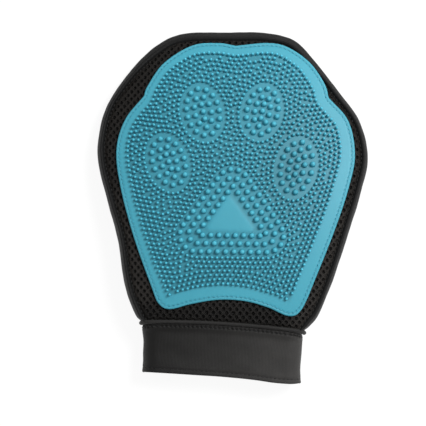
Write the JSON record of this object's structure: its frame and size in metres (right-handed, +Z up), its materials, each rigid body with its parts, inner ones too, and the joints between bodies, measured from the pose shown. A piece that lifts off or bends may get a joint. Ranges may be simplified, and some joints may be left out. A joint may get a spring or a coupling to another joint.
{
  "type": "pet grooming mitt",
  "caption": "Thumbless mesh mitt for brushing pets: a domed rubber pad with paw-shaped zones of soft nubs on the palm, a rounded side band and a stretch wrist cuff.",
  "frame": {"origin": "middle of the footprint, on the surface that the mitt lies on", "axes": "+Y to the fingertips, +Z up out of the palm and its pad, cuff towards -Y"},
  "size_m": [0.1844, 0.2395, 0.0333],
  "materials": {
    "pad_rubber": "satin moulded rubber",
    "pad_thread": "matte thread",
    "air_mesh": "open knitted spacer mesh",
    "band_jersey": "matte smooth jersey",
    "cuff_jersey": "matte stretch jersey over foam",
    "black_thread": "matte thread"
  },
  "bodies": {
    "mitt": {"grooming_pad": "pad_rubber", "pad_stitching": "pad_thread", "palm_panel": "air_mesh", "side_band": "band_jersey", "palm_seam_thread": "black_thread", "back_panel": "air_mesh", "back_seam_thread": "black_thread", "wrist_welt": "cuff_jersey"},
    "cuff": {"cuff_front": "cuff_jersey", "cuff_back": "cuff_jersey", "cuff_seam_left": "black_thread", "cuff_seam_right": "black_thread", "wrist_stitching": "black_thread", "hem_stitching": "black_thread"}
  },
  "joints": [
    {"name": "wrist_bend", "type": "hinge", "parent": "mitt", "child": "cuff", "pos_m": [-0.00396, -0.08748, 0.0125], "axis": [0.9994, -0.036, 0], "range_deg": [-45, 45], "stiffness_Nm_per_rad": 0.06}
  ]
}
